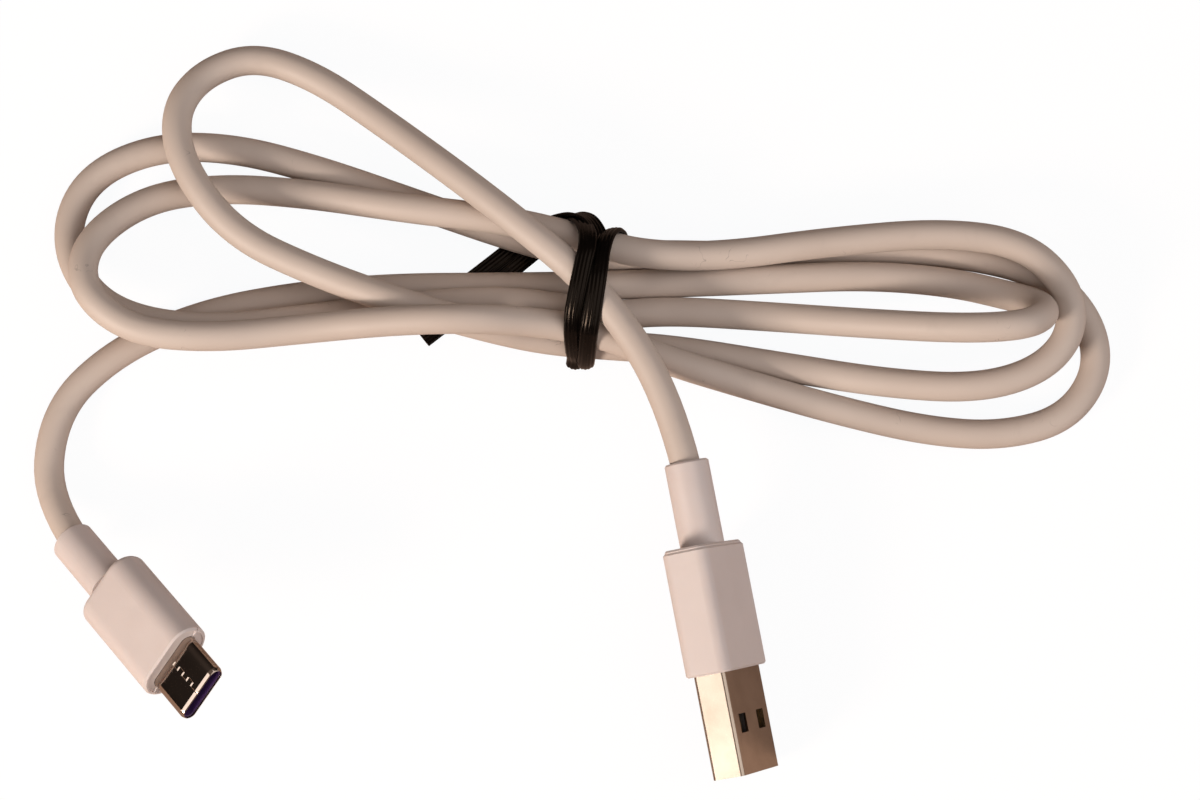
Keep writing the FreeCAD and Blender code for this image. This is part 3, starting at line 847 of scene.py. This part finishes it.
@dataclass
class OvalShell:
    """Bright shell of the oval plug: an oval sleeve with a turned-in lip and an interlocked seam.

    Sizes are in millimetres, and places along the plug are measured from the end of the cord.
    """

    seat: float = 11.0
    front: float = 20.0
    tip: float = 26.65
    width: float = 8.25
    height: float = 2.4
    wall: float = 0.28
    end_steps: int = 14
    cell: float = 0.05
    fine_cells: tuple[int, int] = (-3, 15)
    coarse_left: Row = (-2.0, -1.0, -0.4)
    coarse_right: Pair = (1.3, 2.2)
    hidden: float = 0.2
    seam_lead: float = 0.94
    seam_pitch: float = 1.065
    seam_legs: int = 5
    seam_step: float = 0.6
    leg_depth: float = 0.075
    leg_slope: float = 0.2
    line_depth: float = 0.035
    lip: list[Pair] = field(default_factory=lambda: [
        # distance back from the tip, and inset from the outer face
        (0.54, 0.0), (0.50, 0.004), (0.46, 0.016), (0.12, 0.150), (0.05, 0.182), (0.0, 0.230), (0.0, 0.260),
    ])

    def legs(self) -> list[float]:
        """Places of the seam's crosswise legs."""
        return [self.front + self.seam_lead + leg * self.seam_pitch for leg in range(self.seam_legs)]

    def groove(self, along: float, across: float) -> float:
        """Depth of the seam at one place of the wide face.

        Args:
            along: Place along the plug.
            across: Place across the plug.

        Returns:
            Depth below the face.
        """
        passed = sum(along > leg + self.cell / 2 for leg in self.legs())
        level = self.seam_step if passed % 2 == 0 else 0.0
        depth = self.line_depth * max(0.0, 1.0 - abs(across - level) / self.cell)
        inside = max(0.0, min(1.0, 1.0 + min(across, self.seam_step - across) / self.cell))
        for leg in self.legs():
            fall = 1.0 - abs(leg - along) / self.leg_slope
            if along < leg + self.cell / 2 and fall > 0.0:
                depth = max(depth, self.leg_depth * fall * inside)
        return depth

    def columns(self) -> list[float]:
        """Places across the upper wide face, close together round the seam.

        Returns:
            The places from one end to the other.
        """
        first, last = self.fine_cells
        fine = [step * self.cell for step in range(first, last + 1)]
        return [*self.coarse_left, *fine, *self.coarse_right]

    def section(self, along: float, inset: float, seamed: bool) -> list[Pair]:
        """Oval outline of the sleeve at one place.

        Args:
            along: Place along the plug.
            inset: Distance inwards from the outer face.
            seamed: Whether the seam is cut into the upper wide face.

        Returns:
            Points across the plug and out of its wide face.
        """
        reach = (self.width - self.height) / 2
        radius = self.height / 2 - inset
        outline = []
        for across in self.columns():
            depth = self.groove(along, across) if seamed else 0.0
            outline.append((across, radius - depth))
        for side, start in ((1, math.pi / 2), (-1, -math.pi / 2)):
            for step in range(self.end_steps + 1):
                angle = start - math.pi * step / self.end_steps
                outline.append((side * reach + radius * math.cos(angle), radius * math.sin(angle)))
        return outline

    def stations(self) -> list[tuple[float, float, bool]]:
        """Places of the rings, outside from the seat to the lip and back inside.

        Returns:
            Place along the plug, inset from the outer face and whether the seam is cut, for each ring.
        """
        step = self.seam_pitch / round(self.seam_pitch / self.cell)
        origin = self.front + self.seam_lead
        first = -int((self.seam_lead + self.hidden) / step)
        last = int((self.tip - self.lip[0][0] - origin) / step)
        rings = [(self.seat, 0.0, False)]
        rings += [(origin + row * step, 0.0, True) for row in range(first, last)]
        rings += [(self.tip - back, inset, True) for back, inset in self.lip]
        return rings + [(self.tip - self.cell, self.wall, False), (self.seat, self.wall, False)]

    def build(self, shop: Workshop, plug: OvalFrame) -> bpy.types.Object:
        """Make the shell.

        Args:
            shop: Source of the finishes.
            plug: Frame of the plug.

        Returns:
            The shell.
        """
        rings = []
        for along, inset, seamed in self.stations():
            outline = self.section(along, inset, seamed)
            rings.append([plug.place(along, across, height) for across, height in outline])
        mesh = bmesh.new()
        Workshop.skin(mesh, rings, closed=True)
        piece = Workshop.publish(mesh, "oval_shell")
        shop.dress(piece, Surface.BRIGHT_PLATE)
        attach(piece, BODY)
        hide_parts("usb_c_shell")
        return piece


@dataclass
class Plugs:
    """Both plugs: their solids come from the frame and get their finishes here."""

    replaced: str = "usb_c_shell"
    contact: Surface = Surface.GOLD
    far_end: tuple[str, ...] = ("usb_c_strain_relief", "usb_c_housing", "usb_c_insulator")
    finish_of: dict[str, Surface] = field(default_factory=lambda: {
        "usb_a_strain_relief": Surface.PLUG,
        "usb_a_housing": Surface.PLUG,
        "usb_a_shell": Surface.NICKEL,
        "usb_a_contact_carrier": Surface.DARK_PLASTIC,
        "usb_a_inner_mould": Surface.MOULD,
        "usb_c_strain_relief": Surface.PLUG,
        "usb_c_housing": Surface.PLUG,
        "usb_c_insulator": Surface.LINING,
        "usb_c_inner_mould": Surface.MOULD,
        "usb_c_latch_spring": Surface.STEEL,
        "usb_c_circuit_card": Surface.CARD,
        "usb_c_resistor": Surface.DARK_PLASTIC,
    })

    def finish(self, name: str) -> Surface:
        """Choose the finish of one solid.

        Args:
            name: Name of its node.

        Returns:
            Its finish: a wire's own colour, the finish listed, or a contact's.
        """
        if "_wire_" in name:
            return Surface["WIRE_" + name.rsplit("_", 1)[1].upper()]
        return self.finish_of.get(name, self.contact)

    def build(self, shop: Workshop, nodes: dict[str, bpy.types.Object]) -> dict[str, bpy.types.Object]:
        """Dress every solid of the plugs.

        Args:
            shop: Source of the finishes.
            nodes: The frame's solids by name.

        Returns:
            The dressed pieces by name.
        """
        dressed = {}
        for name, piece in nodes.items():
            if name.startswith("usb_") and name != self.replaced:
                shop.dress(piece, self.finish(name))
                dressed[name] = piece
        return dressed


@dataclass(frozen=True)
class Lamp:
    """One soft square light that faces the middle of the hank, in metres and watts."""

    name: str
    place: Row
    size: float
    power: float
    colour: Row

    def hang(self) -> None:
        """Add the light to the scene."""
        data = bpy.data.lights.new(self.name, "AREA")
        data.shape = "SQUARE"
        data.size = self.size
        data.energy = self.power
        data.color = self.colour
        light = bpy.data.objects.new(self.name, data)
        light.location = self.place
        light.rotation_euler = (-Vector(self.place)).to_track_quat("-Z", "Y").to_euler()
        bpy.context.scene.collection.objects.link(light)


@dataclass
class Studio:
    """Pale floor, soft lights and the camera over the hank, in metres."""

    target: Row = (0.0038, 0.0016, 0.0)
    distance: float = 0.452
    elevation: float = 80.0
    lens: float = 100.0
    sensor: float = 36.0
    near: float = 0.01
    floor_half: float = 2.0
    floor_drop: float = 0.0001
    floor_colour: Row = (0.46, 0.335, 0.27)
    floor_roughness: float = 0.9
    floor_specular: float = 0.1
    glow_colour: Row = (0.985, 1.0, 1.01)
    glow_strength: float = 1.18
    glow_share: float = 0.80
    room_colour: Row = (1.0, 0.79, 0.69)
    room_low: float = 0.02
    room_high: float = 0.23
    room_power: float = 2.0
    backdrop_colour: Row = (1.0, 1.0, 1.0)
    lamps: tuple[Lamp, ...] = (
        Lamp("key", (-0.525, -0.42, 0.33), 0.20, 4.9, (1.0, 0.875, 0.775)),
        # what the narrow side of the flat plug's shell mirrors
        Lamp("left_card", (-0.51, -0.205, 0.455), 0.30, 0.53, (1.0, 0.95, 0.92)),
        Lamp("right", (0.58, -0.14, 0.64), 1.6, 7.9, (1.0, 0.96, 0.95)),
    )

    def floor(self) -> None:
        """Lay the pale floor."""
        mesh = bmesh.new()
        bmesh.ops.create_grid(mesh, x_segments=2, y_segments=2, size=self.floor_half)
        data = bpy.data.meshes.new("floor")
        mesh.to_mesh(data)
        mesh.free()
        ground = bpy.data.objects.new("floor", data)
        ground.location = (0, 0, -self.floor_drop)
        bpy.context.scene.collection.objects.link(ground)
        data.materials.append(self.floor_finish())

    def floor_finish(self) -> bpy.types.Material:
        """Matt floor that stays white in the picture and still takes a faint shadow.

        Returns:
            The floor's material.
        """
        material = bpy.data.materials.new("pale_floor")
        material.use_nodes = True
        nodes, links = material.node_tree.nodes, material.node_tree.links
        shader = nodes["Principled BSDF"]
        set_values(shader, {
            "Base Color": (*self.floor_colour, 1.0), "Roughness": self.floor_roughness,
            "Specular IOR Level": self.floor_specular,
        })
        glow = nodes.new("ShaderNodeEmission")
        set_values(glow, {"Color": (*self.glow_colour, 1.0), "Strength": self.glow_strength})
        path = nodes.new("ShaderNodeLightPath")
        share = nodes.new("ShaderNodeMath")
        share.operation = Arithmetic.PRODUCT.value
        share.inputs[1].default_value = self.glow_share
        blend = nodes.new("ShaderNodeMixShader")
        links.new(path.outputs["Is Camera Ray"], share.inputs[0])
        links.new(share.outputs["Value"], blend.inputs["Fac"])
        links.new(shader.outputs["BSDF"], blend.inputs[1])
        links.new(glow.outputs["Emission"], blend.inputs[2])
        links.new(blend.outputs["Shader"], nodes["Material Output"].inputs["Surface"])
        return material

    def surroundings(self) -> bpy.types.World:
        """White backdrop round a dim room that is lighter overhead.

        Returns:
            The world.
        """
        world = bpy.data.worlds.new("studio")
        world.use_nodes = True
        nodes, links = world.node_tree.nodes, world.node_tree.links
        room = nodes["Background"]
        room.inputs["Color"].default_value = (*self.room_colour, 1.0)
        heading = nodes.new("ShaderNodeTexCoord")
        parts = nodes.new("ShaderNodeSeparateXYZ")
        rise = nodes.new("ShaderNodeMath")
        rise.operation = "POWER"
        rise.use_clamp = True
        rise.inputs[1].default_value = self.room_power
        level = nodes.new("ShaderNodeMapRange")
        set_values(level, {"To Min": self.room_low, "To Max": self.room_high})
        links.new(heading.outputs["Generated"], parts.inputs["Vector"])
        links.new(parts.outputs["Z"], rise.inputs[0])
        links.new(rise.outputs["Value"], level.inputs["Value"])
        links.new(level.outputs["Result"], room.inputs["Strength"])
        backdrop = nodes.new("ShaderNodeBackground")
        backdrop.inputs["Color"].default_value = (*self.backdrop_colour, 1.0)
        path = nodes.new("ShaderNodeLightPath")
        blend = nodes.new("ShaderNodeMixShader")
        links.new(path.outputs["Is Camera Ray"], blend.inputs["Fac"])
        links.new(room.outputs["Background"], blend.inputs[1])
        links.new(backdrop.outputs["Background"], blend.inputs[2])
        links.new(blend.outputs["Shader"], nodes["World Output"].inputs["Surface"])
        return world

    def camera(self) -> None:
        """Set the camera at the photograph's angle."""
        data = bpy.data.cameras.new("camera")
        data.lens = self.lens
        data.sensor_width = self.sensor
        data.sensor_fit = "HORIZONTAL"
        data.clip_start = self.near
        camera = bpy.data.objects.new("camera", data)
        rise = math.radians(self.elevation)
        away = Vector((0, -math.cos(rise), math.sin(rise))) * self.distance
        camera.location = Vector(self.target) + away
        camera.rotation_euler = (-away).to_track_quat("-Z", "Y").to_euler()
        bpy.context.scene.collection.objects.link(camera)
        bpy.context.scene.camera = camera

    def build(self) -> None:
        """Set up floor, lights, surroundings and camera."""
        self.floor()
        for lamp in self.lamps:
            lamp.hang()
        bpy.context.scene.world = self.surroundings()
        bpy.context.scene.view_settings.view_transform = "Standard"
        self.camera()


def main() -> None:
    """Build every piece in order."""
    logging.basicConfig(level=logging.INFO, format="%(name)s: %(message)s")
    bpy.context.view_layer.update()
    shop = Workshop()
    cord = Cord()
    wound = cord.build(shop)
    LOG.info("cord on %d control points", len(cord.route))
    tie = TwistTie().build(shop)
    LOG.info("tie with %d faces", len(tie.data.polygons))
    plugs = Plugs()
    dressed = plugs.build(shop, frame["nodes"])
    LOG.info("%d plug pieces dressed", len(dressed))
    oval = OvalFrame.at(cord.points(), OVAL_ROLL)
    shell = OvalShell().build(shop, oval)
    LOG.info("oval shell with %d faces", len(shell.data.polygons))
    ridges = PartingRidges().build(shop, oval)
    LOG.info("parting ridges with %d faces", len(ridges.data.polygons))
    Studio().build()


if __name__ == "__main__":
    main()
